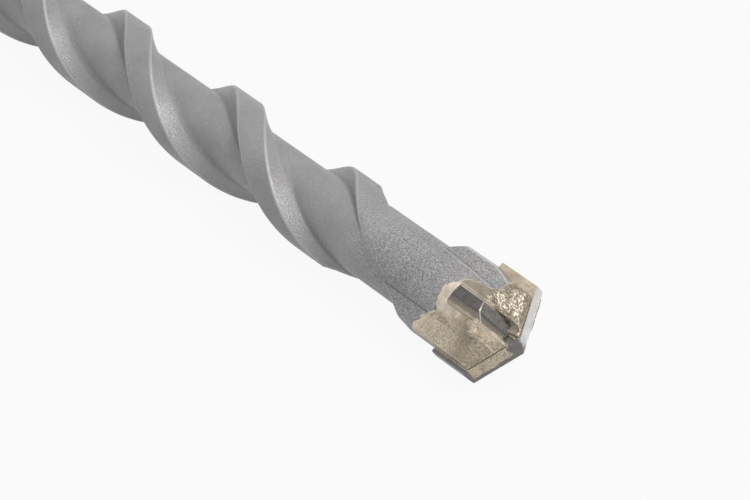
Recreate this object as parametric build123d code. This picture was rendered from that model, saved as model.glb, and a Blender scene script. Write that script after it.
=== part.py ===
from build123d import *
import math
import os

# Hammer drill bit with a slotted quick-change shank, a two-flute spiral and a carbide cross head.
# Millimetres and degrees. The axis is +X, the chisel point is at the far end of +X, +Z is up,
# and the origin is the centre of the shank's rear face. "Behind the point" lengths run towards -X.

# Driving dimensions of the whole bit
overall_length = 160.0
rest_roll = 35.6

# Driving dimensions of the shank
shank_diameter = 10.0
shank_length = 57.0
shank_rear_chamfer = 1.0
neck_chamfer = 0.8
drive_slot_width = 4.0
drive_slot_depth = 2.0
drive_slot_length = 38.0
drive_slot_corner = 0.4
locking_groove_radius = 2.65
locking_groove_depth = 1.7
locking_groove_start = 12.0
locking_groove_length = 21.5

# Driving dimensions of the spiral
land_diameter = 9.35
spiral_core_diameter = 6.0
lead = 36.5
spiral_line_up = 7.7
land_trailing_half_width = 1.45
land_leading_half_width = 2.05
trailing_flank_angle = 13.5
leading_flank_angle = 3.5
trailing_foot_fillet = 1.6
leading_foot_fillet = 0.45
rear_runout_radius = 45.0

# Driving dimensions of the steel head
head_core_diameter = 7.3
head_core_taper_start = 21.0
head_core_taper_end = 31.0
head_land_length = 11.0
head_land_rear_angle = 36.0
head_land_half_width = 1.5
head_wall_angle = 28.5
head_wall_skew = 2.7
head_mill_start = 14.0
head_mill_radius = 60.0
nose_bevel_length = 6.7
nose_bevel_angle = 10.5
heel_angle = 38.0
gullet_depth = 1.15
gullet_angle = 27.0
gullet_side_angle = 38.0
insert_gash_width = 0.9
insert_gash_depth = 0.3

# Driving dimensions of the carbides and their brazed joints
head_diameter = 10.4
point_angle = 130.0
relief_angle = 9.0
plate_thickness = 1.8
plate_height = 6.85
insert_thickness = 1.9
insert_reach = 3.95
insert_drop = 1.1
insert_angle = 36.5
insert_roof_angle = 21.0
insert_outer_angle = 17.0
braze_gap = 0.12
braze_fillet = 0.9

# Sizes that follow
tip = overall_length
shank_radius = shank_diameter / 2
land_radius = land_diameter / 2
spiral_core_radius = spiral_core_diameter / 2
head_core_radius = head_core_diameter / 2
head_radius = head_diameter / 2
plate_half = plate_thickness / 2
insert_half = insert_thickness / 2
slot_half = plate_half + braze_gap
insert_slot_half = insert_half + braze_gap
seat_depth = plate_height + braze_gap
oversize = 2 * head_radius
past_tip = tip + oversize
turning_stock = 0.25
core_overlap = 0.08
edge_slope = math.tan(math.radians(90 - point_angle / 2))
relief_slope = math.tan(math.radians(relief_angle)) / math.cos(math.radians(90 - point_angle / 2))


def tangent(degrees):
    return math.tan(math.radians(degrees))


def across(x):
    """The plane square to the axis at x, with its own x along +Y and its own y along +Z."""
    return Plane(origin=(x, 0, 0), x_dir=(0, 1, 0), z_dir=(1, 0, 0))


def turned(points):
    """A solid turned about the axis from an outline of (x, radius) points that closes along the axis."""
    return revolve(make_face(Polyline(*points, close=True)), Axis.X)


def ground_arc(start, radius, floor, rise, side):
    """The arc that a round cutter leaves as it lifts out of a floor: tangent at start, up by rise."""
    reach = math.sqrt(2 * radius * rise - rise ** 2)
    half = math.asin(reach / radius) / 2
    middle = (start + side * radius * math.sin(half), floor + radius * (1 - math.cos(half)))
    return ThreePointArc((start, floor), middle, (start + side * reach, floor + rise))


def beyond(point, normal):
    """Everything on the outer side of a plane, as a block that is larger than the head."""
    size = (overall_length, overall_length, overall_length)
    return Plane(origin=point, z_dir=normal) * Box(*size, align=(Align.CENTER, Align.CENTER, Align.MIN))


def corners(face, points):
    """The face's corners that lie nearest to the given points."""
    return [min(face.vertices(), key=lambda v: (Vector(v) - Vector(*p)).length) for p in points]


def opposite(solid):
    """The same feature on the other side of the axis."""
    return solid.rotate(Axis.X, 180)


def block(x, y, z):
    """A box between the given pairs of limits."""
    low = (x[0], y[0], z[0])
    size = (x[1] - x[0], y[1] - y[0], z[1] - z[0])
    return Pos(*low) * Box(*size, align=(Align.MIN, Align.MIN, Align.MIN))


def wall(half_width, lean):
    """A land's wall as a line, by its height over the axis and its slope, in a section whose x runs out
    along the land. Its crest lies half_width from the land's middle plane, and it leans away from that
    plane as it goes out."""
    slope = tangent(lean)
    return half_width - slope * math.sqrt(land_radius ** 2 - half_width ** 2), slope


def wall_point(line, x):
    height, slope = line
    return (x, height + slope * x)


def foot(line, radius):
    """Where a wall starts on a round core."""
    height, slope = line
    quadratic = 1 + slope ** 2
    return wall_point(line, (math.sqrt(quadratic * radius ** 2 - height ** 2) - slope * height) / quadratic)


def mirrored(point, x=1, y=1):
    return (x * point[0], y * point[1])


def spiral_section():
    """Two lands on a round core, with steep leading flanks and leaning trailing flanks."""
    leading = wall(land_leading_half_width, leading_flank_angle)
    trailing = wall(land_trailing_half_width, -trailing_flank_angle)
    lead_foot = foot(leading, spiral_core_radius)
    lead_end = wall_point(leading, oversize)
    trail_foot = mirrored(foot(trailing, spiral_core_radius), y=-1)
    trail_end = mirrored(wall_point(trailing, oversize), y=-1)
    land = make_face(Polyline((0, 0), trail_foot, trail_end, lead_end, lead_foot, close=True))
    section = (Circle(spiral_core_radius) + land + land.rotate(Axis.Z, 180)).face()
    lead_feet = [lead_foot, mirrored(lead_foot, -1, -1)]
    trail_feet = [trail_foot, mirrored(trail_foot, -1, -1)]
    section = fillet(corners(section, lead_feet), leading_foot_fillet).face()
    return fillet(corners(section, trail_feet), trailing_foot_fillet).face()


def twisted(start, end):
    """The spiral between two stations, cut a little larger than its lands."""
    start_angle = 360 * (start - tip + spiral_line_up) / lead
    section = across(start) * spiral_bar.rotate(Axis.Z, start_angle)
    run = end - start
    return Solid.extrude_linear_with_rotation(section, (start, 0, 0), (run, 0, 0), 360 * run / lead)


spiral_bar = (spiral_section() & Circle(land_radius + turning_stock)).face()

# The round blank, turned before any milling
neck_front = shank_length - neck_chamfer + shank_radius - land_radius
blank = turned([
    (0, 0),
    (0, shank_radius - shank_rear_chamfer),
    (shank_rear_chamfer, shank_radius),
    (shank_length - neck_chamfer, shank_radius),
    (neck_front, land_radius),
    (tip, land_radius),
    (tip, 0),
])

# The core before the head: the spiral flutes get shallower there
taper_back = tip - head_core_taper_end
taper_front = tip - head_core_taper_start
core_front = turned([
    (taper_back, 0),
    (taper_back, spiral_core_radius - core_overlap),
    (taper_front, head_core_radius),
    (tip, head_core_radius),
    (tip, 0),
])

# The core at the shank: the cutter lifts out of the flutes along an arc
lift = land_radius + turning_stock - spiral_core_radius + core_overlap
lift_edge = ground_arc(shank_length, rear_runout_radius, spiral_core_radius - core_overlap, lift, -1)
lift_edge = Pos(shank_length - (lift_edge @ 1).X, 0) * lift_edge
rear_front = (lift_edge @ 0).X
core_rear = revolve(make_face(lift_edge + Polyline(
    lift_edge @ 1,
    (shank_length, 0),
    (rear_front, 0),
    lift_edge @ 0,
)), Axis.X)

# The head before milling: as large as the lands, with a bevelled rear end
head_rear = tip - head_land_length
bevel_slope = tangent(head_land_rear_angle)
bevel_rear = head_rear - (land_radius - head_core_radius) / bevel_slope
head_round = turned([
    (bevel_rear, 0),
    (bevel_rear, head_core_radius),
    (head_rear + turning_stock / bevel_slope, land_radius + turning_stock),
    (tip, land_radius + turning_stock),
    (tip, 0),
])

# The two broad straight flutes of the head, which leave a land on each side of the plate
mill_floor_radius = head_core_radius - core_overlap / 2
mill_edge = ground_arc(
    tip - head_mill_start, head_mill_radius, mill_floor_radius, 2 * (land_radius - head_core_radius), -1
)
mill_end = (mill_edge @ 1).X
mill_floor = revolve(make_face(mill_edge + Polyline(
    mill_edge @ 1,
    (mill_end, 0),
    (past_tip, 0),
    (past_tip, mill_floor_radius),
    mill_edge @ 0,
)), Axis.X)
wall_start = mill_floor_radius * math.sin(math.radians(head_wall_angle))


def flute_zone(x):
    """A head flute's outline at a station. One wall runs along the axis. The other is milled askew,
    so that its land gets narrower towards the shank."""
    straight = wall(head_land_half_width, -head_wall_angle)
    height, slope = straight
    askew = (height + (x - tip + head_land_length / 2) * tangent(head_wall_skew), slope)
    return across(x) * make_face(Polyline(
        (wall_start, 0),
        wall_point(askew, wall_start),
        wall_point(askew, oversize),
        (oversize, oversize),
        (-oversize, oversize),
        mirrored(wall_point(straight, oversize), x=-1),
        mirrored(wall_point(straight, wall_start), x=-1),
        (-wall_start, 0),
        close=True,
    ))


head_flute = loft([flute_zone(mill_end), flute_zone(past_tip)], ruled=True) - mill_floor

# Steel body, first the milled bar: head, spiral in stretches of about half a turn, run-out and shank
body = (twisted(taper_back, tip - spiral_line_up / 2) + core_front + head_round) & blank
body = body - head_flute - opposite(head_flute)
stretches = math.ceil((taper_back - rear_front) / (lead / 2))
stretch = (taper_back - rear_front) / stretches
for k in range(stretches):
    start = rear_front + k * stretch
    body = body + (twisted(start, start + stretch) & blank)
rear = twisted(shank_length - neck_chamfer / 2, rear_front) + core_rear
body = body + ((rear + turned([
    (0, 0),
    (0, oversize),
    (shank_length, oversize),
    (shank_length, 0),
])) & blank)

# The shank's two open drive slots, with round cutter run-outs, and its two closed locking grooves
slot_floor = shank_radius - drive_slot_depth
slot_outline = make_face(Polyline(
    (-oversize, slot_floor),
    (drive_slot_length - drive_slot_depth, slot_floor),
    (drive_slot_length, shank_radius),
    (drive_slot_length, oversize),
    (-oversize, oversize),
    close=True,
))
slot_outline = fillet(corners(slot_outline, [(drive_slot_length - drive_slot_depth, slot_floor)]), drive_slot_depth)
drive_slot = extrude(Plane.XZ * slot_outline, drive_slot_width / 2, both=True)
floor_edges = drive_slot.edges().filter_by(Axis.X).group_by(Axis.Z)[0]
drive_slot = fillet(floor_edges, drive_slot_corner)
groove_height = shank_radius - locking_groove_depth + locking_groove_radius
groove_first = locking_groove_start + locking_groove_radius
groove_last = locking_groove_start + locking_groove_length - locking_groove_radius
locking_groove = (
    Pos(groove_first, groove_height, 0) * Rot(0, 90, 0)
    * Cylinder(locking_groove_radius, groove_last - groove_first, align=(Align.CENTER, Align.CENTER, Align.MIN))
    + Pos(groove_first, groove_height, 0) * Sphere(locking_groove_radius)
    + Pos(groove_last, groove_height, 0) * Sphere(locking_groove_radius)
)
body = body - drive_slot - opposite(drive_slot) - locking_groove - opposite(locking_groove)

# Front of the head. Behind each cutting edge the steel backs the plate up to its heel edge and slopes
# away from it. In front of each cutting edge a gullet leaves the plate's cutting face standing clear.
head_zone = (tip - 2 * plate_height, past_tip)
heel_edge = tip - plate_half * relief_slope
heel_front = beyond((heel_edge, 0, plate_half), (1, -edge_slope, tangent(heel_angle)))
heel_front = heel_front & block(head_zone, (-oversize, 0), (0, oversize))
gullet_plane = beyond(
    (tip - gullet_depth, 0, plate_half), (1, tangent(gullet_angle), tangent(gullet_side_angle))
)
gullet = gullet_plane & block(head_zone, (0, oversize), (0, oversize))
bevel_cone = turned([
    (tip - nose_bevel_length, 0),
    (tip - nose_bevel_length, land_radius),
    (tip, land_radius - nose_bevel_length * tangent(nose_bevel_angle)),
    (tip, 0),
])
nose_bevel = block((tip - nose_bevel_length, past_tip), (0, oversize), (plate_half, oversize)) - bevel_cone
insert_gash = beyond(
    (tip - insert_drop - insert_gash_depth, 0, plate_half), (1, 0, tangent(insert_angle))
) & block(head_zone, (-insert_slot_half - insert_gash_width, 0), (plate_half, oversize))
milled = body
fronts = heel_front + gullet + nose_bevel + insert_gash
body = milled - fronts - opposite(fronts)

# Carbide plate over the whole diameter, with a roof-shaped top: each half slopes back from its cutting
# edge, so that the two flanks meet in the short chisel edge on the axis
flank = beyond((tip + plate_half * relief_slope, 0, plate_half), (1, edge_slope, -relief_slope))
plate = block((tip - plate_height, past_tip), (-head_radius, head_radius), (-plate_half, plate_half))
plate = plate & turned([
    (tip - seat_depth, 0),
    (tip - seat_depth, head_radius),
    (past_tip, head_radius),
    (past_tip, 0),
])
plate = plate - flank - opposite(flank)

# Two small carbides across the plate, each with a roof-shaped top and a slightly pointed outer face
insert = block((tip - plate_height, tip), (-insert_half, insert_half), (slot_half, insert_reach))
roof_point = (tip - insert_drop, 0, plate_half)
outer_point = (tip, 0, insert_reach)
for side in (-1, 1):
    insert = insert - beyond(roof_point, (1, side * tangent(insert_roof_angle), tangent(insert_angle)))
    insert = insert - beyond(outer_point, (0, side * tangent(insert_outer_angle), 1))

# Slots, each as wide as its carbide and two braze gaps, and the braze that fills what the carbide leaves
plate_slot = block((tip - seat_depth, past_tip), (-oversize, oversize), (-slot_half, slot_half))
plate_room = block((tip - plate_height, past_tip), (-oversize, oversize), (-plate_half, plate_half))
insert_slot = block((tip - seat_depth, past_tip), (-insert_slot_half, insert_slot_half), (slot_half, oversize))
insert_room = block((tip - plate_height, past_tip), (-insert_half, insert_half), (slot_half, oversize))
bead_top = beyond(
    (tip - gullet_depth + braze_fillet, 0, plate_half),
    (1, tangent(gullet_angle), tangent(gullet_side_angle) + 1),
)
bead = (milled & gullet & block(head_zone, (0, oversize), (plate_half, oversize))) - bead_top - nose_bevel
bead = bead - insert_slot
braze_main = (body & (plate_slot - plate_room)) + bead + opposite(bead)
braze_side = body & (insert_slot - insert_room)
body = body - plate_slot - insert_slot - opposite(insert_slot)

nodes = {
    "steel_body": body,
    "main_cutter": plate,
    "side_cutter_near": insert,
    "side_cutter_far": opposite(insert),
    "braze_main": braze_main,
    "braze_near": braze_side,
    "braze_far": opposite(braze_side),
}
os.makedirs("parts", exist_ok=True)
for name, solid in nodes.items():
    export_step(solid.rotate(Axis.X, rest_roll), "parts/" + name + ".step")
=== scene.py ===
import math
import bpy
import numpy as np
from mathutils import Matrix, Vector


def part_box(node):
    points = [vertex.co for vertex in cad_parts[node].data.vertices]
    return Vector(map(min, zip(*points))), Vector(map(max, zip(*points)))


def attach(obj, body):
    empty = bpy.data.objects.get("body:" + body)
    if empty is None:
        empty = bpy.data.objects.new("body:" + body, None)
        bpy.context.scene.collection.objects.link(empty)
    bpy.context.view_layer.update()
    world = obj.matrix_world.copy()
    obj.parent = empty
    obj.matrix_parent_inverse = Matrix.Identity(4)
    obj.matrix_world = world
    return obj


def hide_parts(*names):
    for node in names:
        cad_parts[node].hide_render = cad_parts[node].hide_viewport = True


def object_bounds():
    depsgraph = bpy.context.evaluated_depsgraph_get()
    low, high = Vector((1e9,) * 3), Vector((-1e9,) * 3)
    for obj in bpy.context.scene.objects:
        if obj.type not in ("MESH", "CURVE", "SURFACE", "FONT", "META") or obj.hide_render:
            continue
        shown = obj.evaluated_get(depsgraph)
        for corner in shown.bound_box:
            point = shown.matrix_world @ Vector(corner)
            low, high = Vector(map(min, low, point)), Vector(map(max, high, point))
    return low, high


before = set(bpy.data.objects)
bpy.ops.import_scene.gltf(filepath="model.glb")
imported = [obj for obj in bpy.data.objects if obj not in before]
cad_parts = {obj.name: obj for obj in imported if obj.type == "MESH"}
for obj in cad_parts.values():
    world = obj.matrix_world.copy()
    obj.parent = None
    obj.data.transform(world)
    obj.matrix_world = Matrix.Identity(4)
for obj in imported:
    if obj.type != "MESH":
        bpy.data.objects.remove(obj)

cad_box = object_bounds()
MM = 0.001
REST_ROLL = math.radians(35.6)
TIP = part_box("main_cutter")[1].x / MM


def placed(points):
    """Points in the bit's own millimetres as points of the scene: rolled about X and put in metres."""
    x, y, z = np.moveaxis(np.asarray(points, float), -1, 0)
    rolled_y = y * math.cos(REST_ROLL) - z * math.sin(REST_ROLL)
    rolled_z = y * math.sin(REST_ROLL) + z * math.cos(REST_ROLL)
    return np.stack([x, rolled_y, rolled_z], axis=-1) * MM


# Camera: the photograph looks down on the point from the near side, with a long lens, so the spiral
# hardly tapers with distance. Its middle is a little behind and above the point.
VIEW_AZIMUTH = math.radians(-39.7)
VIEW_ELEVATION = math.radians(36.1)
VIEW_DISTANCE = 290.0 * MM
LENS = 156.1
AIM_LEFT = 13.1 * MM
AIM_UP = 8.6 * MM

towards_camera = Vector((
    math.cos(VIEW_ELEVATION) * math.cos(VIEW_AZIMUTH),
    math.cos(VIEW_ELEVATION) * math.sin(VIEW_AZIMUTH),
    math.sin(VIEW_ELEVATION),
))
picture_right = Vector((-math.sin(VIEW_AZIMUTH), math.cos(VIEW_AZIMUTH), 0.0))
picture_up = towards_camera.cross(picture_right)
point = Vector((TIP * MM, 0.0, 0.0))

camera_data = bpy.data.cameras.new("camera")
camera_data.sensor_width = 36.0
camera_data.lens = LENS
camera = bpy.data.objects.new("camera", camera_data)
camera.location = point - AIM_LEFT * picture_right + AIM_UP * picture_up + VIEW_DISTANCE * towards_camera
camera.rotation_euler = towards_camera.to_track_quat("Z", "Y").to_euler()
bpy.context.scene.collection.objects.link(camera)
bpy.context.scene.camera = camera


# Studio: a white tent around the bit, with a soft lamp high on the point's right and a plain pale floor.
# To the camera and in reflections the floor is nearly white, and it keeps the bit's shadow.
FLOOR_HALF = 1.5
FLOOR_GREY = (0.3, 0.3, 0.3, 1)
FLOOR_GLOW = 0.93
TENT_LIGHT = 0.8
LAMP_PLACE = (0.38, 0.06, 0.45)
LAMP_SIZE = 0.30
LAMP_POWER = 2.2


def new_material(name):
    """An empty node material: itself, its node tree and its output."""
    material = bpy.data.materials.new(name)
    material.use_nodes = True
    material.node_tree.nodes.clear()
    return material, material.node_tree, material.node_tree.nodes.new("ShaderNodeOutputMaterial")


def joined(tree, *path):
    """Links sockets in pairs: from, to, from, to."""
    for source, target in zip(path[::2], path[1::2]):
        tree.links.new(source, target)


floor_low = cad_box[0][2]
floor_corners = [(-1, -1), (1, -1), (1, 1), (-1, 1)]
floor_mesh = bpy.data.meshes.new("floor")
floor_mesh.from_pydata(
    [(x * FLOOR_HALF, y * FLOOR_HALF, floor_low) for x, y in floor_corners], [], [(0, 1, 2, 3)]
)
floor = bpy.data.objects.new("floor", floor_mesh)
bpy.context.scene.collection.objects.link(floor)
material, tree, output = new_material("pale_floor")
diffuse = tree.nodes.new("ShaderNodeBsdfDiffuse")
diffuse.inputs["Color"].default_value = FLOOR_GREY
glow = tree.nodes.new("ShaderNodeEmission")
rays = tree.nodes.new("ShaderNodeLightPath")
seen = rays.outputs["Is Camera Ray"]
for ray in ("Is Glossy Ray", "Is Transmission Ray"):
    either = tree.nodes.new("ShaderNodeMath")
    either.operation = "MAXIMUM"
    joined(tree, seen, either.inputs[0], rays.outputs[ray], either.inputs[1])
    seen = either.outputs[0]
mostly = tree.nodes.new("ShaderNodeMath")
mostly.operation = "MULTIPLY"
mostly.inputs[1].default_value = FLOOR_GLOW
blend = tree.nodes.new("ShaderNodeMixShader")
joined(
    tree,
    seen, mostly.inputs[0],
    mostly.outputs[0], blend.inputs["Fac"],
    diffuse.outputs[0], blend.inputs[1],
    glow.outputs[0], blend.inputs[2],
    blend.outputs[0], output.inputs["Surface"],
)
floor.data.materials.append(material)

world = bpy.data.worlds.new("studio")
bpy.context.scene.world = world
world.use_nodes = True
world.node_tree.nodes["Background"].inputs["Color"].default_value = (1, 1, 1, 1)
world.node_tree.nodes["Background"].inputs["Strength"].default_value = TENT_LIGHT
bpy.context.scene.view_settings.view_transform = "Standard"

lamp_data = bpy.data.lights.new("high_lamp", "AREA")
lamp_data.size = LAMP_SIZE
lamp_data.energy = LAMP_POWER
lamp = bpy.data.objects.new("high_lamp", lamp_data)
lamp.location = LAMP_PLACE
lamp.rotation_euler = (Vector(LAMP_PLACE) - point).to_track_quat("Z", "Y").to_euler()
bpy.context.scene.collection.objects.link(lamp)


# Steel body: one bar of tool steel. The round blank is turned, two flutes are milled along it in a spiral,
# and at the head two broad straight flutes leave a land on each side of the plate. The whole bit is
# sandblasted after brazing, which dulls it and rounds its edges.
SHANK_R = 5.0
SHANK_CHAMFER = 1.0
SHANK_FRONT = 56.2
LAND_R = 4.675
NECK_FRONT = SHANK_FRONT + SHANK_R - LAND_R
LEAD = 36.5
SPIRAL_LINE_UP = 7.7
SPIRAL_CORE = 3.0
# Each wall of a land: half the land's width there, the wall's lean in degrees, the radius of its foot
LEADING_WALL = (2.05, 3.5, 0.45)
TRAILING_WALL = (1.45, -13.5, 1.6)
TAPER = (TIP - 31.0, TIP - 21.0)
TAPER_RADII = (2.92, 3.65)
RUNOUT_BACK = 57.0
RUNOUT_FRONT = 70.28
RUNOUT_R = 45.0
HEAD_REAR = TIP - 11.0
HEAD_REAR_ANGLE = 36.0
MILL_FLOOR = 3.61
MILL_START = TIP - 14.0
MILL_R = 60.0
HEAD_WALL_ANGLE = 28.5
HEAD_WALL_HEIGHT = 3.904
HEAD_WALL_SKEW = 2.7
LAND_MIDDLE = TIP - 5.5
BURR_HEIGHT = 0.07
BURR_WIDTH = 0.06
NOSE_BEVEL_BACK = TIP - 6.7
NOSE_BEVEL_ANGLE = 10.5
PLATE_HALF = 0.9
EDGE_SLOPE = math.tan(math.radians(25.0))
RELIEF_SLOPE = math.tan(math.radians(9.0)) / math.cos(math.radians(25.0))
HEEL_ANGLE = 38.0
GULLET_DEPTH = 1.15
GULLET_ANGLE = 27.0
GASH_DEPTH = 1.4
GASH_ANGLE = 36.5
GASH_BACK = -1.97
GROOVE_BACK = 14.65
GROOVE_FRONT = 30.85
GROOVE_AXIS = 5.95
GROOVE_BALL = 2.65
DRIVE_SLOT_HALF = 2.0
DRIVE_SLOT_FLOOR = 3.0
DRIVE_SLOT_END = 38.0
DRIVE_SLOT_CORNER = 0.4
DRIVE_SLOT_BEND = 2.0
HEAD_SLOT_BACK = TIP - 6.97
PLATE_SLOT_HALF = 1.02
INSERT_SLOT_HALF = 1.07
PAST = 6.0
COLUMNS = 256
TWIST_END = TIP - 15.0
TWIST_SLOWS = 4.0
HEAD_RINGS_BACK = TIP - 5.0
CRISP_RINGS = 6
NOSE_RINGS = 23
FACE_RINGS = 32
WALLS_FADE = (TIP - 22.0, TIP - 19.0, TIP - 16.5, TIP - 14.5)
SHARP_ANGLE = 50.0


def tangent(degrees):
    return math.tan(math.radians(degrees))


def step(value, start, end):
    """A smooth step from 0 at the start to 1 at the end."""
    share = np.clip((value - start) / (end - start), 0.0, 1.0)
    return share * share * (3 - 2 * share)


def window(value, opens, opened, closes, closed):
    """A smooth step up from 0 to 1, and later back down to 0."""
    return step(value, opens, opened) * (1 - step(value, closes, closed))


def land_wall(angle, half_width, lean, foot):
    """The radius of a land's wall at an angle from the land's middle. It is the straight wall that leans
    away from the middle plane, then the foot's fillet, a circle that touches wall and core, then the core."""
    slope = tangent(lean)
    square = 1 + slope ** 2
    height = half_width - slope * math.sqrt(LAND_R ** 2 - half_width ** 2)
    wall = height / np.maximum(np.sin(angle) - slope * np.cos(angle), height / (2 * LAND_R))
    inner = height + foot * math.sqrt(square)
    along = (math.sqrt(square * (SPIRAL_CORE + foot) ** 2 - inner ** 2) - slope * inner) / square
    centre = np.array([along, inner + slope * along])
    touch = centre + foot * np.array([slope, -1.0]) / math.sqrt(square)
    reach = centre[0] * np.cos(angle) + centre[1] * np.sin(angle)
    fillet = reach - np.sqrt(np.maximum(foot ** 2 - centre @ centre + reach ** 2, 0.0))
    radius = np.where(angle < math.atan2(centre[1], centre[0]), fillet, SPIRAL_CORE)
    return np.where(angle < math.atan2(touch[1], touch[0]), wall, radius)


def lift(distance, radius):
    """How high a round cutter stands over its floor, at a distance past the floor's end: a circle's arc."""
    inside = np.clip(distance, 0.0, 0.98 * radius)
    return radius - np.sqrt(radius ** 2 - inside ** 2)


def spiral_radius(x, theta):
    """What the spiral flutes leave of the blank: the land's wall on either side of the nearest land's middle,
    which turns with the lead, or the core where that is more. The core thickens towards the head and at
    the flutes' run-out behind, and the head begins with a slope up to its lands."""
    turn = theta - 2 * math.pi * (x - TIP + SPIRAL_LINE_UP) / LEAD
    turn = np.mod(turn + math.pi / 2, math.pi) - math.pi / 2
    spiral = np.where(turn > 0, land_wall(turn, *LEADING_WALL), land_wall(-turn, *TRAILING_WALL))
    core = np.interp(x, TAPER, TAPER_RADII) + lift(RUNOUT_FRONT - x, RUNOUT_R)
    head = LAND_R + (x - HEAD_REAR) * tangent(HEAD_REAR_ANGLE)
    return np.maximum(np.maximum(spiral, core), head)


def grooved(bar, x, theta):
    """The bar less the two closed locking grooves. A ball travels along a line beside the bar's axis and
    stops at both ends, so a groove's radius is the line's distance less the ball's half chord."""
    beyond = np.maximum(np.maximum(GROOVE_BACK - x, x - GROOVE_FRONT), 0.0)
    inside = GROOVE_BALL ** 2 - beyond ** 2 - (GROOVE_AXIS * np.sin(theta)) ** 2
    groove = GROOVE_AXIS * np.abs(np.cos(theta)) - np.sqrt(np.maximum(inside, 0.0))
    return np.where(inside > 0, np.minimum(bar, groove), bar)


def head_flute_radius(x, around):
    """What the straight flutes leave of the head. A land's wall is a plane, so its radius is the plane's
    distance over the cosine of the angle from its normal, and it sinks away past that normal. One wall
    lies askew and has a low burr along its foot. The floor rises behind as the cutter's arc."""
    askew = HEAD_WALL_HEIGHT + (x - LAND_MIDDLE) * tangent(HEAD_WALL_SKEW)
    height = np.where(around < math.pi / 2, askew, HEAD_WALL_HEIGHT) * math.cos(math.radians(HEAD_WALL_ANGLE))
    past = np.minimum(around, math.pi - around) - math.radians(90 - HEAD_WALL_ANGLE)
    walls = height * np.where(past < 0, 1 / np.cos(np.minimum(past, 0.0)), 1 - past ** 2)
    floor_lift = np.where(x < MILL_START - 0.5 * MILL_R, SHANK_R, lift(MILL_START - x, MILL_R))
    floor = MILL_FLOOR + floor_lift
    burr = BURR_HEIGHT * np.exp(-((walls - floor + BURR_WIDTH) / BURR_WIDTH) ** 2)
    burr = burr * step(-past, 0.0, 0.1) * (around < math.pi / 2)
    return np.maximum(walls, floor) + burr


def bar_radius(x, theta):
    """The bar's radius at a station and an angle from the plate: the least of the turned blank, what the
    grooves and flutes leave of it, and the bevel that the nose has beside the plate's cutting face."""
    blank = np.interp(
        x, [0.0, SHANK_CHAMFER, SHANK_FRONT, NECK_FRONT], [SHANK_R - SHANK_CHAMFER, SHANK_R, SHANK_R, LAND_R]
    )
    bar = np.where(x < RUNOUT_BACK, blank, np.minimum(spiral_radius(x, theta), blank))
    bar = grooved(bar, x, theta)
    around = np.mod(theta, math.pi)
    bar = np.minimum(bar, head_flute_radius(x, around))
    cone = LAND_R - (x - NOSE_BEVEL_BACK) * tangent(NOSE_BEVEL_ANGLE)
    on_nose = (x > NOSE_BEVEL_BACK) & (around < math.pi / 2) & (bar * np.sin(around) > PLATE_HALF)
    return np.where(on_nose, np.minimum(bar, cone), bar)


def heel_at(y, rise):
    """The heel's station: a plane through the plate's back edge that slopes down and away from the plate."""
    return TIP - PLATE_HALF * RELIEF_SLOPE + EDGE_SLOPE * y - tangent(HEEL_ANGLE) * rise


def front_face(y, z):
    """Where the steel ends towards the point, on the near side; the far side is the same half a turn on.
    Behind the plate it is the heel, before the plate's cutting face it is the gullet, a deeper slope, and
    the gash makes room before each small cutter."""
    side = np.where(z < 0, -1.0, 1.0)
    y, rise = y * side, z * side - PLATE_HALF
    gullet = TIP - GULLET_DEPTH - tangent(GULLET_ANGLE) * y - tangent(HEEL_ANGLE) * rise
    gash = TIP - GASH_DEPTH - tangent(GASH_ANGLE) * rise
    face = np.where(y < 0, heel_at(y, rise), gullet)
    return np.where((y > GASH_BACK) & (y < PLATE_HALF), np.minimum(face, gash), face)


def rim_at(theta):
    """The station where the bar's side meets its front face, found by halving the way to it."""
    x = np.full(theta.shape, TIP - 3.0)
    for halving in range(30):
        radius = bar_radius(x, theta)
        x = 0.5 * (x + np.minimum(front_face(radius * np.cos(theta), radius * np.sin(theta)), TIP))
    return x


def on_bar(x, theta):
    """Points on the bar's side: the station, and the radius times the angle's cosine and sine."""
    radius = bar_radius(x, theta)
    return np.stack([x, radius * np.cos(theta), radius * np.sin(theta)], axis=-1)


def bar_rings(stations):
    """The bar's points in rings. Along the spiral each ring is turned with it, so the lands' edges run along
    the mesh, and the turning slows to a stop before the head. From the last station the rings spread
    over the rest of the side up to the rim, and then shrink over the front face towards the axis."""
    slow_from = TWIST_END - TWIST_SLOWS
    slowing = np.clip((stations - slow_from) / TWIST_SLOWS, 0.0, 1.0)
    turned_by = np.clip(stations, RUNOUT_BACK, slow_from) + TWIST_SLOWS * (slowing - slowing ** 2 / 2)
    x, column = np.meshgrid(stations, np.arange(COLUMNS), indexing="ij")
    theta = 2 * math.pi * (column / COLUMNS + (turned_by[:, None] - turned_by[-1]) / LEAD)
    side = on_bar(x, theta)
    share = np.linspace(0.0, 1.0, NOSE_RINGS + 1)[1:, None]
    x = stations[-1] + share * (rim_at(theta[-1]) - stations[-1])
    nose = on_bar(x, np.broadcast_to(theta[-1], x.shape))
    inward = np.linspace(1.0, 0.0, FACE_RINGS + 2)[1:-1, None]
    y, z = inward * nose[-1, :, 1], inward * nose[-1, :, 2]
    return np.concatenate([side, nose, np.stack([front_face(y, z), y, z], axis=-1)])


def eased(points, axis, times):
    """Each point moved to the weighted mean of itself and its two neighbours, several times over."""
    for turn in range(times):
        points = 0.5 * points + 0.25 * (np.roll(points, 1, axis) + np.roll(points, -1, axis))
    return points


def blasted_rings(rings, head_from):
    """Rings as the blasting leaves them: eased along the head and round the whole bar, and much more where
    the spiral's walls run out into the head's flutes. The crisp chamfer at the rear stays."""
    rings[head_from + 3:-3] = eased(rings[head_from:], 0, 2)[3:-3]
    rings[CRISP_RINGS:] = eased(rings[CRISP_RINGS:], 1, 2)
    fading = window(rings[..., :1], *WALLS_FADE)
    return rings + fading * (eased(rings, 1, 24) - rings)


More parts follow.
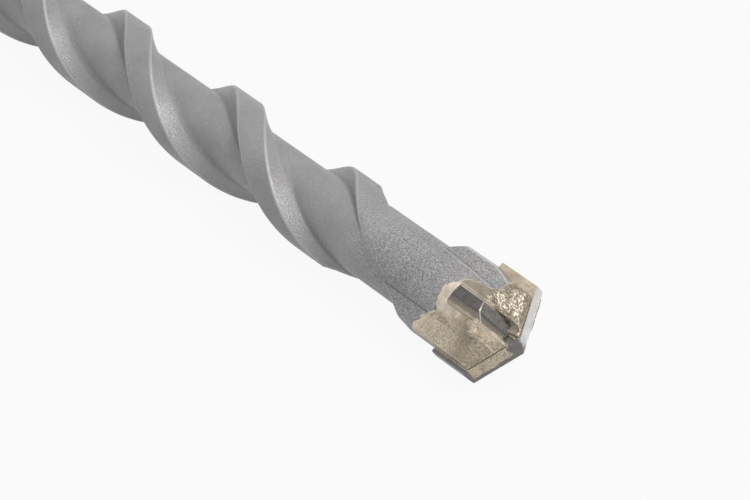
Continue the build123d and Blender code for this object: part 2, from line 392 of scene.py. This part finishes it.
def ring_bend(rings):
    """How sharply a ring turns at each point: the step to it less the step from it, measured outwards, over
    the square of a step. It is above 0 on edges and below 0 in corners, and left at 0 on the chamfer."""
    ahead, behind = np.roll(rings, -1, 1) - rings, rings - np.roll(rings, 1, 1)
    gap = 0.5 * (np.linalg.norm(ahead, axis=-1) + np.linalg.norm(behind, axis=-1)) + 1e-6
    outward = rings * np.array([0, 1, 1])
    outward /= np.linalg.norm(outward, axis=-1)[..., None] + 1e-6
    bend = ((behind - ahead) * outward).sum(-1) / gap ** 2
    bend[:CRISP_RINGS] = 0.0
    return bend


def new_piece(name, vertices, faces):
    """A mesh object of the part, from points in the bit's own millimetres."""
    mesh = bpy.data.meshes.new(name)
    mesh.from_pydata(placed(vertices).tolist(), [], faces)
    mesh.polygons.foreach_set("use_smooth", np.ones(len(mesh.polygons), bool))
    piece = bpy.data.objects.new(name, mesh)
    bpy.context.scene.collection.objects.link(piece)
    return piece


def note(piece, name, values):
    """Gives each point of a piece a value, which its finish reads by this name."""
    piece.data.attributes.new(name, "FLOAT", "POINT").data.foreach_set("value", values)


def ride_root(piece):
    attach(piece, "root")


def ring_faces(rows, columns):
    """Outward faces between rings of points, and fans that close the first and the last ring."""
    row, column = np.meshgrid(np.arange(rows - 1), np.arange(columns), indexing="ij")
    after = (column + 1) % columns
    near, far = row * columns, (row + 1) * columns
    quads = np.stack([near + column, near + after, far + after, far + column], axis=-1).reshape(-1, 4)
    first = np.arange(columns)
    second = (first + 1) % columns
    start, last = rows * columns, (rows - 1) * columns
    rear = np.stack([np.full(columns, start), second, first], axis=-1)
    front = np.stack([np.full(columns, start + 1), last + first, last + second], axis=-1)
    return quads.tolist() + rear.tolist() + front.tolist()


def ringed_piece(name, rings):
    """A closed piece from rings of points, with a point in the middle of its first and its last ring."""
    rings = np.array(rings, float)
    vertices = np.concatenate([rings.reshape(-1, 3), rings[0].mean(0)[None], rings[-1].mean(0)[None]])
    return new_piece(name, vertices, ring_faces(*rings.shape[:2]))


def head_slot_rings(half_width, half_height):
    """A straight slot through the head's front, as two rectangular rings."""
    corners = [(-1, -1), (1, -1), (1, 1), (-1, 1)]
    return [[(x, y * half_width, z * half_height) for y, z in corners] for x in (HEAD_SLOT_BACK, TIP + 1.0)]


def drive_slot_rings(side):
    """A drive slot's section along the shank: flat floor, rounded floor corners, parallel walls. At its
    front end the floor rises at 45 degrees, after an arc."""
    turn = np.radians(np.linspace(0.0, 45.0, 7))
    arc_start = DRIVE_SLOT_END - DRIVE_SLOT_BEND * (1 + math.tan(math.radians(22.5)))
    x = np.concatenate([[-1.0], arc_start + DRIVE_SLOT_BEND * np.sin(turn), [DRIVE_SLOT_END + 1.0]])
    rising = DRIVE_SLOT_BEND * (1 - np.cos(turn))
    floor = DRIVE_SLOT_FLOOR + np.concatenate([[0.0], rising, [3.0]])
    quarter = np.radians(np.linspace(0.0, 90.0, 5))
    corner_y = DRIVE_SLOT_HALF - DRIVE_SLOT_CORNER * (1 - np.sin(quarter))
    rise = DRIVE_SLOT_CORNER * (1 - np.cos(quarter))
    y = np.concatenate([corner_y, [DRIVE_SLOT_HALF, -DRIVE_SLOT_HALF], -corner_y[::-1]])
    rise = np.concatenate([rise, [PAST, PAST], rise[::-1]])
    height = floor[:, None] + rise
    across = np.broadcast_to(y, height.shape)
    return np.stack([np.broadcast_to(x[:, None], height.shape), side * across, side * height], axis=-1)


def milled(piece, cutters):
    """The piece less each cutter's path."""
    for tool in cutters:
        cut = piece.modifiers.new(tool.name, "BOOLEAN")
        cut.operation = "DIFFERENCE"
        cut.object = tool
    shape = bpy.data.meshes.new_from_object(piece.evaluated_get(bpy.context.evaluated_depsgraph_get()))
    piece.modifiers.clear()
    piece.data = shape
    for tool in cutters:
        bpy.data.objects.remove(tool)


# The rings' stations, from the rear: the chamfer, the shank, the neck, the spiral and the head's side
stations = np.concatenate([
    np.linspace(0.0, SHANK_CHAMFER, 5),
    np.linspace(1.5, SHANK_FRONT, 92),
    np.linspace(SHANK_FRONT, NECK_FRONT, 4)[1:],
    np.linspace(RUNOUT_BACK, TWIST_END, 160),
    np.linspace(TWIST_END, HEAD_RINGS_BACK, 76)[1:],
])
rings = blasted_rings(bar_rings(stations), np.searchsorted(stations, TWIST_END))
steel = ringed_piece("steel_bar", rings)
note(steel, "bend", np.concatenate([ring_bend(rings).ravel(), [0.0, 0.0]]))
milled(steel, [
    ringed_piece("plate_slot", head_slot_rings(PAST, PLATE_SLOT_HALF)),
    ringed_piece("insert_slot", head_slot_rings(INSERT_SLOT_HALF, PAST)),
    ringed_piece("near_drive_slot", drive_slot_rings(1)),
    ringed_piece("far_drive_slot", drive_slot_rings(-1)),
])
ride_root(steel)
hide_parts("steel_body")
steel.data.set_sharp_from_angle(angle=math.radians(SHARP_ANGLE))


class Field:
    """A value or a colour that varies over a surface. It holds a node's output, so that a finish can be
    written as sums and products of fields and numbers."""

    def __init__(self, output):
        self.output = output
        self.tree = output.id_data

    def __add__(self, other):
        return maths(self.tree, "ADD", self, other)

    def __sub__(self, other):
        return maths(self.tree, "SUBTRACT", self, other)

    def __rsub__(self, other):
        return maths(self.tree, "SUBTRACT", other, self)

    def __mul__(self, other):
        return maths(self.tree, "MULTIPLY", self, other)

    def __abs__(self):
        return maths(self.tree, "ABSOLUTE", self)

    __radd__ = __add__
    __rmul__ = __mul__

    def passing(self, start, end):
        """A smooth step of the value: 0 at the start and 1 at the end, whichever of them is more."""
        node = self.tree.nodes.new("ShaderNodeMapRange")
        node.interpolation_type = "SMOOTHSTEP"
        node.inputs["From Min"].default_value = start
        node.inputs["From Max"].default_value = end
        plug(self, node.inputs["Value"])
        return Field(node.outputs["Result"])


def plug(value, socket):
    """Gives a node's input a field, a colour or a number."""
    if isinstance(value, Field):
        value.tree.links.new(value.output, socket)
    elif isinstance(value, tuple):
        socket.default_value = (*value, 1.0)
    else:
        socket.default_value = value


def maths(tree, operation, *values):
    """A Math node over fields and numbers."""
    node = tree.nodes.new("ShaderNodeMath")
    node.operation = operation
    for value, socket in zip(values, node.inputs):
        plug(value, socket)
    return Field(node.outputs[0])


def ramp(value, stops):
    """A colour that goes with a value through (value, colour) stops."""
    node = value.tree.nodes.new("ShaderNodeValToRGB")
    while len(node.color_ramp.elements) < len(stops):
        node.color_ramp.elements.new(0.5)
    for element, (position, colour) in zip(node.color_ramp.elements, stops):
        element.position = position
        element.color = (*colour, 1.0)
    plug(value, node.inputs["Fac"])
    return Field(node.outputs["Color"])


def tinted(colour, share, tint):
    """A colour with a share of another one laid over it."""
    node = colour.tree.nodes.new("ShaderNodeMix")
    node.data_type = "RGBA"
    plug(share, node.inputs[0])
    plug(colour, node.inputs[6])
    plug(tint, node.inputs[7])
    return Field(node.outputs[2])


class Finish:
    """A metal finish in the making. Its fields x, y and z are the place on the bit in its own axes, in
    millimetres: Object coordinates with the rest roll taken off. near_y is Y turned with the side, so it
    is above 0 before the plate's cutting face and below 0 on the heel."""

    def __init__(self, name, metallic):
        self.material, self.tree, self.output = new_material(name)
        self.shader = self.tree.nodes.new("ShaderNodeBsdfPrincipled")
        self.shader.inputs["Metallic"].default_value = metallic
        place = self.tree.nodes.new("ShaderNodeTexCoord").outputs["Object"]
        roll = self.tree.nodes.new("ShaderNodeVectorRotate")
        roll.rotation_type = "X_AXIS"
        roll.inputs["Angle"].default_value = -REST_ROLL
        parts = self.tree.nodes.new("ShaderNodeSeparateXYZ")
        self.place = roll.outputs["Vector"]
        joined(self.tree, place, roll.inputs["Vector"], self.place, parts.inputs["Vector"])
        self.x, self.y, self.z = (Field(parts.outputs[axis]) * (1 / MM) for axis in "XYZ")
        self.near_y = self.y * maths(self.tree, "SIGN", self.z)

    def attribute(self, name):
        node = self.tree.nodes.new("ShaderNodeAttribute")
        node.attribute_name = name
        return Field(node.outputs["Fac"])

    def grains(self, per_metre, detail=2.0, rough=0.5, around=1.0):
        """Noise with so many grains to the metre, which are drawn out round the bit where around is small."""
        squeeze = self.tree.nodes.new("ShaderNodeMapping")
        squeeze.inputs["Scale"].default_value = (1.0, around, around)
        node = self.tree.nodes.new("ShaderNodeTexNoise")
        node.inputs["Scale"].default_value = per_metre
        node.inputs["Detail"].default_value = detail
        node.inputs["Roughness"].default_value = rough
        joined(
            self.tree,
            self.place, squeeze.inputs["Vector"],
            squeeze.outputs["Vector"], node.inputs["Vector"],
        )
        return Field(node.outputs["Fac"])

    def finished(self, colour, roughness, relief, depth):
        """The material with its colour, its roughness and its relief, which is so many millimetres deep."""
        bump = self.tree.nodes.new("ShaderNodeBump")
        bump.inputs["Distance"].default_value = depth * MM
        plug(relief, bump.inputs["Height"])
        plug(colour, self.shader.inputs["Base Color"])
        plug(roughness, self.shader.inputs["Roughness"])
        joined(
            self.tree,
            bump.outputs["Normal"], self.shader.inputs["Normal"],
            self.shader.outputs[0], self.output.inputs["Surface"],
        )
        return self.material


STEEL_TONES = [(0.3, (0.248, 0.241, 0.248)), (0.7, (0.305, 0.298, 0.304))]
STEEL_PIT = (0.12, 0.118, 0.115)
STEEL_GLINT = (0.50, 0.495, 0.50)
# Painted highlight for the steel's edges
STEEL_EDGE_HIGHLIGHT = (0.52, 0.515, 0.51)
# Painted shade for the steel's corners
STEEL_CORNER_SHADE = (0.10, 0.095, 0.092)
BRAZE_STAIN = (0.315, 0.30, 0.25)
WETTED_STEEL = (0.255, 0.215, 0.16)


def steel_finish():
    """Grey steel, turned on the shank and blasted before it, coarser towards the head. Specks of pits and
    glints follow the grain, a painted highlight lightens its edges and painted shade darkens its corners.
    Braze stains the head, and wets the steel beside the small cutters' slot."""
    finish = Finish("blasted_steel", metallic=0.42)
    x, bend = finish.x, finish.attribute("bend")
    grain = finish.grains(6500.0, rough=0.6)
    blasted = 0.25 + x.passing(SHANK_FRONT - 0.5, SHANK_FRONT + 1.5) * 0.75
    near_head = x.passing(TIP - 24.0, TIP - 12.0)
    coarse = blasted * (0.2 + near_head * 0.6)
    by_askew_wall = finish.near_y.passing(1.0, 2.0) * near_head
    # Painted highlight on the edges: weaker on the nose, stronger along the askew wall's burr
    edge_highlight = 0.12 + x.passing(TIP - 6.0, TIP - 8.0) * 0.25 + by_askew_wall * 0.5
    # Painted shade in corners: stronger near the head, weaker by the askew wall
    corner_shade = (0.3 + near_head * 0.5) * (1.0 - by_askew_wall * 0.7)
    stained = x.passing(TIP - 13.0, TIP - 7.0) * finish.grains(500.0, 4.0, 0.6).passing(0.4, 0.65)
    by_slot = abs(finish.y).passing(1.4, 1.2) * x.passing(TIP - 7.5, TIP - 7.2)
    colour = ramp(finish.grains(260.0, 4.0), STEEL_TONES)
    for share, tint in (
        (stained * 0.45, BRAZE_STAIN),
        (grain.passing(0.54, 0.65) * coarse, STEEL_PIT),
        (grain.passing(0.44, 0.35) * coarse, STEEL_GLINT),
        # painted highlight on edges
        (bend.passing(0.7, 2.2) * edge_highlight, STEEL_EDGE_HIGHLIGHT),
        # painted shade in corners
        (bend.passing(-0.3, -1.3) * corner_shade, STEEL_CORNER_SHADE),
        (by_slot * 0.85, WETTED_STEEL),
    ):
        colour = tinted(colour, share, tint)
    turning_marks = finish.grains(7000.0, rough=0.6, around=0.03)
    relief = (grain + finish.grains(2200.0, 3.0, 0.6) * 0.6) * blasted * (0.55 + near_head * 0.45)
    relief = relief + turning_marks * (1.0 - blasted) * 0.35
    roughness = 0.24 + finish.grains(700.0, 3.0) * 0.16 + blasted * 0.12
    return finish.finished(colour, roughness, relief, depth=0.12)


steel.data.materials.clear()
steel.data.materials.append(steel_finish())


# Braze on the near and the far side: brass-coloured filler that was melted into the slots and ran out over
# the steel round each small cutter and over the heel of the plate. It stands in thick lumps before the
# plate's cutting face, and the blasting left it matt except there.
COAT_SPREAD = (13.5, 167.5)
COAT_COLUMNS = 230
COAT_SIDE_ROWS = 122
COAT_FRONT_ROWS = 67
COAT_BACK = TIP - 10.7
# How far behind the point the braze reaches, at angles round the bar from the plate
OUTLINE_ANGLE = (14, 40, 45, 52, 54, 57, 69, 77, 88, 103, 115, 124, 133, 155, 161, 172)
OUTLINE_BACK = (4.3, 4.2, 4.4, 4.9, 5.9, 6.9, 7.7, 8.0, 8.3, 8.1, 8.1, 7.7, 8.7, 9.8, 10.0, 9.9)
COAT_THICK = 0.09
COAT_ROOT = 0.4
COAT_DIVE = 0.12
INSERT_DIVE = 0.25
GULLET_FILL = 2.2
GASH_FILL = 0.32
# Place, radius and height of each drop and dent
BLOBS = (
    ((TIP - 5.2, -1.5, 3.4), 0.38, 0.30),
    ((TIP - 3.7, -1.3, 3.4), 0.38, 0.34),
    ((TIP - 3.1, -1.9, 3.0), 0.5, 0.30),
    ((TIP - 4.6, -2.1, 3.0), 0.7, -0.05),
    ((TIP - 3.0, -3.5, 2.0), 0.3, -0.045),
    ((TIP - 4.4, 1.5, 3.3), 0.5, 0.14),
)


def lumps(points, size, seed):
    """Smooth random relief, mostly between -1 and 1: a sum of plane waves in random directions, whose
    wavelengths are round the given size."""
    draw = np.random.default_rng(seed)
    direction = draw.normal(size=(30, 3))
    direction /= np.linalg.norm(direction, axis=1)[:, None]
    waves = direction * (2 * math.pi / (size * draw.uniform(0.7, 1.7, 30)))[:, None]
    return np.sin(points @ waves.T + draw.uniform(0, 2 * math.pi, 30)).sum(-1) / math.sqrt(30)


def blob(points, place, radius):
    """A round hump of height 1 about a place: a bell curve of the distance."""
    return np.exp(-((points - np.array(place)) ** 2).sum(-1) / radius ** 2)


def coat_skin(plate_edge):
    """The skin that the braze lies on, in rows from behind the head up to the rim and in to the plate: the
    bar's side, then its front face. Beside the small cutter the face is filled up towards the heel's plane,
    and before the plate's cutting face it swings up to the plate's edge by the square of a cosine."""
    theta = np.radians(np.linspace(*COAT_SPREAD, COAT_COLUMNS))
    share = np.linspace(0.0, 1.0, COAT_SIDE_ROWS)[:, None]
    x = COAT_BACK + share * (rim_at(theta) - COAT_BACK)
    side = on_bar(x, np.broadcast_to(theta, x.shape))
    rim_y, rim_z = side[-1, :, 1], side[-1, :, 2]
    inward = np.linspace(0.0, 1.0, COAT_FRONT_ROWS + 1)[1:, None]
    y = rim_y * (1 - 0.03 * inward)
    z = rim_z + inward * (PLATE_HALF + 0.01 - rim_z)
    face = front_face(y, z)
    under_heel = np.maximum(heel_at(y, z - PLATE_HALF) - 0.04 - face, 0.0)
    by_plate = (1 - step(z, 1.15, 2.1)) * step(-y, 0.5, 0.95)
    face = face + (y > GASH_BACK) * np.maximum(GASH_FILL * step(-y, 0.5, -GASH_BACK), by_plate * under_heel)
    under_edge = np.maximum(plate_edge - 0.06 - EDGE_SLOPE * y - face, 0.0)
    swing = np.cos(0.5 * math.pi * np.clip((z - PLATE_HALF) / GULLET_FILL, 0.0, 1.0)) ** 2
    face = face + swing * step(y - 0.75 * step(z, 1.05, 1.5), 0.1, 0.55) * under_edge
    skin = np.concatenate([side, np.stack([face, y, z], axis=-1)])
    skin[12:-12] = eased(skin, 0, 12)[12:-12]
    return skin


def within_outline(skin, angle, seed):
    """How far a point lies within the braze's wavy outline: the reach of the braze at its angle, less how
    far it is from the point of the bit, with random waves added."""
    waves = 0.22 * lumps(skin, 2.2, seed) + 0.06 * lumps(skin, 0.6, seed + 6)
    return np.interp(angle, OUTLINE_ANGLE, OUTLINE_BACK) - (TIP - skin[..., 0]) + waves


def before_plate(skin, angle):
    """1 on the bead before the plate's cutting face and 0 elsewhere: one smooth step across the plate's
    middle times one over the rim."""
    x, y, z = np.moveaxis(skin, -1, 0)
    return step(y - 0.8 * step(z, 1.05, 1.5), 0.2, 0.8) * step(x - rim_at(np.radians(angle)), -0.6, 0.3)


def coat_thickness(skin, inside, bead, seed):
    """The braze's thickness: a film with random lumps, a raised rim just inside its outline, a lumpy bead
    before the plate, and the drops and dents. It thins out at the plate and beside the small cutter. Where
    there is no braze, and over the small cutter, it is below 0, so that the shell dives out of sight."""
    x, y, z = np.moveaxis(skin, -1, 0)
    coat = COAT_THICK + 0.026 * lumps(skin, 1.2, seed + 1) + 0.010 * lumps(skin, 0.5, seed + 2)
    coat = coat + 0.012 * step(x, TIP - 3.9, TIP - 3.2) * (y < 0) * lumps(skin, 0.42, seed + 5)
    coat = coat + 0.035 * np.exp(-((inside - 0.35) / 0.25) ** 2)
    coat = coat + bead * (0.08 + 0.05 * lumps(skin, 0.9, seed + 3) + 0.016 * lumps(skin, 0.26, seed + 4))
    for place, radius, height in BLOBS:
        coat = coat + height * blob(skin, place, radius)
    off_plate = step(z, PLATE_HALF + 0.02, PLATE_HALF + 0.2)
    coat = np.where(y < 0, coat * off_plate, coat * (0.35 + 0.65 * off_plate))
    coat = coat * step(inside, 0.0, 0.22) - COAT_DIVE * (1 - step(inside, -0.05, 0.12))
    beside_insert = window(y, -1.9, -1.0, 1.1, 1.6) * step(x, TIP - 7.9, TIP - 7.1) * step(z, 1.2, 1.6)
    coat = coat * (1 - 0.55 * beside_insert)
    on_insert = window(y, -1.05, -0.75, 0.95, 1.2) * step(x, TIP - 7.2, TIP - 6.9)
    on_roof = window(y, -0.55, -0.3, 0.95, 1.15) * step(x, TIP - 3.6, TIP - 3.3) * step(z, 1.12, 1.3)
    bare = np.where(x > TIP - 3.45, on_roof, on_insert)
    return coat * (1 - bare) - INSERT_DIVE * bare


def sheet_bend(top, outward):
    """How sharply a sheet of points bends: how far a point stands out from the mean of its four neighbours,
    over the square of a step. It is above 0 on crests and below 0 in hollows, and 0 on the border."""
    middle = top[1:-1, 1:-1]
    four = 0.25 * (top[:-2, 1:-1] + top[2:, 1:-1] + top[1:-1, :-2] + top[1:-1, 2:])
    down = np.linalg.norm(top[2:, 1:-1] - top[:-2, 1:-1], axis=-1)
    across = np.linalg.norm(top[1:-1, 2:] - top[1:-1, :-2], axis=-1)
    gap = (down + across) / 4
    bend = np.zeros(top.shape[:2])
    bend[1:-1, 1:-1] = ((middle - four) * outward[1:-1, 1:-1]).sum(-1) / (0.25 * gap ** 2 + 1e-6)
    return bend


def shell_faces(rows, columns):
    """Outward faces of a shell: a sheet of points, a second sheet under it, and a wall round their border."""
    row, column = np.meshgrid(np.arange(rows - 1), np.arange(columns - 1), indexing="ij")
    corner = (row * columns + column).ravel()
    quads = np.stack([corner, corner + 1, corner + columns + 1, corner + columns], axis=-1)
    under = quads[:, ::-1] + rows * columns
    border = np.concatenate([
        np.arange(columns),
        np.arange(1, rows) * columns + columns - 1,
        rows * columns - 2 - np.arange(columns - 1),
        (rows - 2 - np.arange(rows - 2)) * columns,
    ])
    following = np.roll(border, -1)
    wall = np.stack([following, border, border + rows * columns, following + rows * columns], axis=-1)
    return quads.tolist() + under.tolist() + wall.tolist()


def coat_piece(name, seed, side, edge_gap, finish):
    """The braze on one side as a closed shell: the skin raised outwards by the braze's thickness, and kept
    behind the plate's edge by a gap, over the same skin sunk into the steel."""
    plate_edge = TIP + PLATE_HALF * RELIEF_SLOPE - edge_gap
    skin = coat_skin(plate_edge)
    outward = np.cross(np.gradient(skin, axis=1), np.gradient(skin, axis=0))
    outward /= np.linalg.norm(outward, axis=-1)[..., None]
    angle = np.degrees(np.arctan2(skin[..., 2], skin[..., 1]))
    inside = within_outline(skin, angle, seed)
    bead = before_plate(skin, angle)
    coat = coat_thickness(skin, inside, bead, seed)
    top = skin + coat[..., None] * outward
    limit = plate_edge - EDGE_SLOPE * top[..., 1] - 0.5 * np.maximum(top[..., 2] - 1.1, 0.0)
    top[..., 0] = np.where(top[..., 1] > 0, np.minimum(top[..., 0], limit), top[..., 0])
    bottom = skin - COAT_ROOT * outward
    vertices = np.concatenate([top.reshape(-1, 3), bottom.reshape(-1, 3)]) * np.array([1, side, side])
    piece = new_piece(name, vertices, shell_faces(*coat.shape))
    for key, values in (
        ("shine", bead),
        ("thickness", coat),
        ("rim", np.exp(-((inside - 0.28) / 0.22) ** 2)),
        ("bend", sheet_bend(top, outward)),
    ):
        note(piece, key, np.tile(values.ravel(), 2))
    piece.data.materials.append(finish)
    ride_root(piece)


BRAZE_TONES = [(0.3, (0.31, 0.252, 0.186)), (0.5, (0.455, 0.38, 0.292)), (0.72, (0.62, 0.535, 0.42))]
BRAZE_PIT = (0.10, 0.075, 0.05)
BRAZE_GLINT = (0.80, 0.73, 0.58)


def braze_tan(finish):
    """The blasted braze's colour, blotched and full of light and dark grains, and the relief of both. The
    grains come in patches, fewer below the small cutter and more along the seam behind the plate."""
    grain = finish.grains(6000.0, rough=0.6)
    blotch = finish.grains(900.0, 4.0, 0.6)
    by_insert = finish.near_y.passing(-2.3, -1.5) * finish.x.passing(TIP - 3.6, TIP - 4.6)
    by_seam = abs(finish.z).passing(2.0, 1.0) * finish.near_y.passing(0.0, -1.5)
    patches = (0.5 + finish.grains(330.0, 3.0).passing(0.4, 0.62) * 0.5) * (1.0 - by_insert * 0.7)
    pitted = patches * 0.7 + by_seam * 0.3
    tan = ramp(blotch, BRAZE_TONES)
    tan = tinted(tan, grain.passing(0.53, 0.64) * pitted, BRAZE_PIT)
    tan = tinted(tan, grain.passing(0.45, 0.36) * patches * 0.65, BRAZE_GLINT)
    return tan, grain * patches + blotch


def braze_finish():
    """Blasted braze: paler behind the small cutter, on the land and on the rim, browner near the point and
    before the plate. It is greyer where it is thin, with painted shade in its hollows and a painted highlight
    on its crests. The bead before the plate is grainy with painted glints and shines, and painted shade
    darkens the seam along the plate."""
    finish = Finish("blasted_braze", metallic=0.55)
    x, near_y = finish.x, finish.near_y
    shine, bend = finish.attribute("shine"), finish.attribute("bend")
    tan, relief = braze_tan(finish)
    bead_grain = finish.grains(4300.0, 3.0, 0.65)
    bead = maths(finish.tree, "MAXIMUM", near_y.passing(0.75, 1.0) * x.passing(TIP - 3.9, TIP - 3.4), shine)
    from_plate = abs(finish.z) + relief * 0.12
    for share, tint in (
        (x.passing(TIP - 4.5, TIP - 6.5) * near_y.passing(-2.4, -1.6) * 0.45, (0.72, 0.64, 0.55)),
        (x.passing(TIP - 5.2, TIP - 3.8) * 0.6, (0.255, 0.208, 0.148)),
        (near_y.passing(0.8, 1.5) * 0.8, (0.235, 0.20, 0.155)),
        (near_y.passing(-2.2, -3.2) * x.passing(TIP - 3.5, TIP - 6.0) * 0.3, (0.72, 0.64, 0.50)),
        (finish.attribute("thickness").passing(0.09, 0.02) * 0.4, (0.42, 0.385, 0.34)),
        # Painted shade in the braze's hollows
        (bend.passing(-0.6, -4.0) * 0.5, (0.16, 0.13, 0.10)),
        # Painted highlight on the braze's crests
        (bend.passing(1.2, 6.0) * 0.35, (0.74, 0.67, 0.55)),
        (finish.attribute("rim") * 0.45, (0.70, 0.64, 0.50)),
        (bead_grain.passing(0.53, 0.62) * bead * 0.6, (0.11, 0.085, 0.055)),
        # Light grains on the bead are painted glints
        (bead_grain.passing(0.46, 0.38) * bead * 0.45, (0.78, 0.70, 0.54)),
        # Painted shade in the crack along the seam at the plate
        (from_plate.passing(1.17, 1.04) * 0.8, (0.07, 0.055, 0.04)),
    ):
        tan = tinted(tan, share, tint)
    return finish.finished(tan, roughness=0.56 - shine * 0.26, relief=relief, depth=0.09)


def finish_node(name, material):
    """Puts a finish on a solid of the frame."""
    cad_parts[name].data.materials.clear()
    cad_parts[name].data.materials.append(material)


blasted_braze = braze_finish()
coat_piece("braze_coat_near", seed=5, side=1, edge_gap=0.07, finish=blasted_braze)
coat_piece("braze_coat_far", seed=11, side=-1, edge_gap=0.65, finish=blasted_braze)
for name in ("braze_main", "braze_near", "braze_far"):
    finish_node(name, blasted_braze)


# Small cutters: two dark pieces of sintered tungsten carbide across the plate, brazed into their own slots.
# Each has a roof-shaped top and a slightly pointed outer face, left as sintered, with braze smeared on.
INSERT_HALF = 0.95
INSERT_TONES = [(0.3, (0.085, 0.08, 0.075)), (0.7, (0.14, 0.13, 0.12))]
# Painted highlight for the small cutters' corner between the outer face and the roof
CORNER_HIGHLIGHT = (0.62, 0.6, 0.55)
CORNER_AT = TIP - 3.26
CORNER_SLANT = 0.443
SMEAR_TINT = (0.68, 0.60, 0.46)


def carbide(name, tones, painted_light, painted_light_colour, smear):
    """Tungsten carbide with its fine sintered grain. Two functions say how strongly painted light, in another
    colour, lies on it, and how thickly braze is smeared over it."""
    finish = Finish(name, metallic=0.6)
    blotch = finish.grains(1300.0, 4.0, 0.6)
    # Painted light laid over the grey: a highlight on the small cutters, shade on the plate
    grey = tinted(ramp(blotch, tones), painted_light(finish, blotch), painted_light_colour)
    tan, tan_relief = braze_tan(finish)
    smeared = smear(finish, blotch)
    return finish.finished(
        colour=tinted(grey, smeared, tinted(tan, 0.25, SMEAR_TINT)),
        roughness=0.34 + smeared * 0.22,
        relief=finish.grains(7000.0, rough=0.6) * 0.4 + smeared * tan_relief,
        depth=0.09,
    )


def insert_corner_highlight(finish, blotch):
    """A painted highlight along the corner between the outer face and the roof: a line askew across the
    insert.
    """
    from_corner = abs(finish.x + finish.near_y * CORNER_SLANT - CORNER_AT)
    return from_corner.passing(0.09, 0.02) * 0.7


def insert_smear(finish, blotch):
    """A thin film of braze on the facet that faces the heel, thicker towards its edge, and a whole skin of
    it on the insert's flat sides."""
    uneven = finish.near_y + (blotch - 0.5) * 0.5
    film = uneven.passing(-0.18, -0.35) * 0.24 + uneven.passing(-0.55, -0.9) * 0.5
    flat_sides = abs(finish.y).passing(INSERT_HALF - 0.025, INSERT_HALF - 0.005)
    return maths(finish.tree, "MAXIMUM", film, flat_sides)


sintered = carbide("sintered_carbide", INSERT_TONES, insert_corner_highlight, CORNER_HIGHLIGHT, insert_smear)
for name in ("side_cutter_near", "side_cutter_far"):
    finish_node(name, sintered)


# Main cutter: one plate of tungsten carbide over the whole diameter, brazed into the slot. Its flanks are
# ground bright along the cutting edges, and the braze has run over the rest.
PLATE_TONES = [(0.3, (0.52, 0.515, 0.505)), (0.7, (0.72, 0.71, 0.70))]
# Painted shade and dark reflection for one half of the plate
PLATE_PAINTED_SHADE = (0.085, 0.08, 0.076)


def plate_shade(finish, blotch):
    """One half of the plate is painted dark as shade and dark reflection, up to a wavy line at the point."""
    return (finish.y + (blotch - 0.5) * 0.8).passing(0.45, 0.05) * 0.85


def plate_smear(finish, blotch):
    """Braze on the half of the flank that lies away from the point, short of its end, and on the plate's
    sides beyond the lands. Both end in wavy lines."""
    wavy = (blotch - 0.5) * 1.6
    on_flank = (wavy - finish.y).passing(0.9, 1.2) * (finish.z + wavy * 0.4).passing(-0.55, -0.42)
    on_flank = on_flank * (finish.y + wavy * 0.3).passing(-4.9, -4.7)
    on_side = abs(finish.z).passing(PLATE_HALF - 0.06, PLATE_HALF - 0.01)
    on_side = on_side * (abs(finish.y) + wavy).passing(0.4, 0.9) * finish.near_y.passing(-4.6, -4.4)
    return maths(finish.tree, "MAXIMUM", on_flank, on_side)


finish_node("main_cutter", carbide("ground_carbide", PLATE_TONES, plate_shade, PLATE_PAINTED_SHADE, plate_smear))
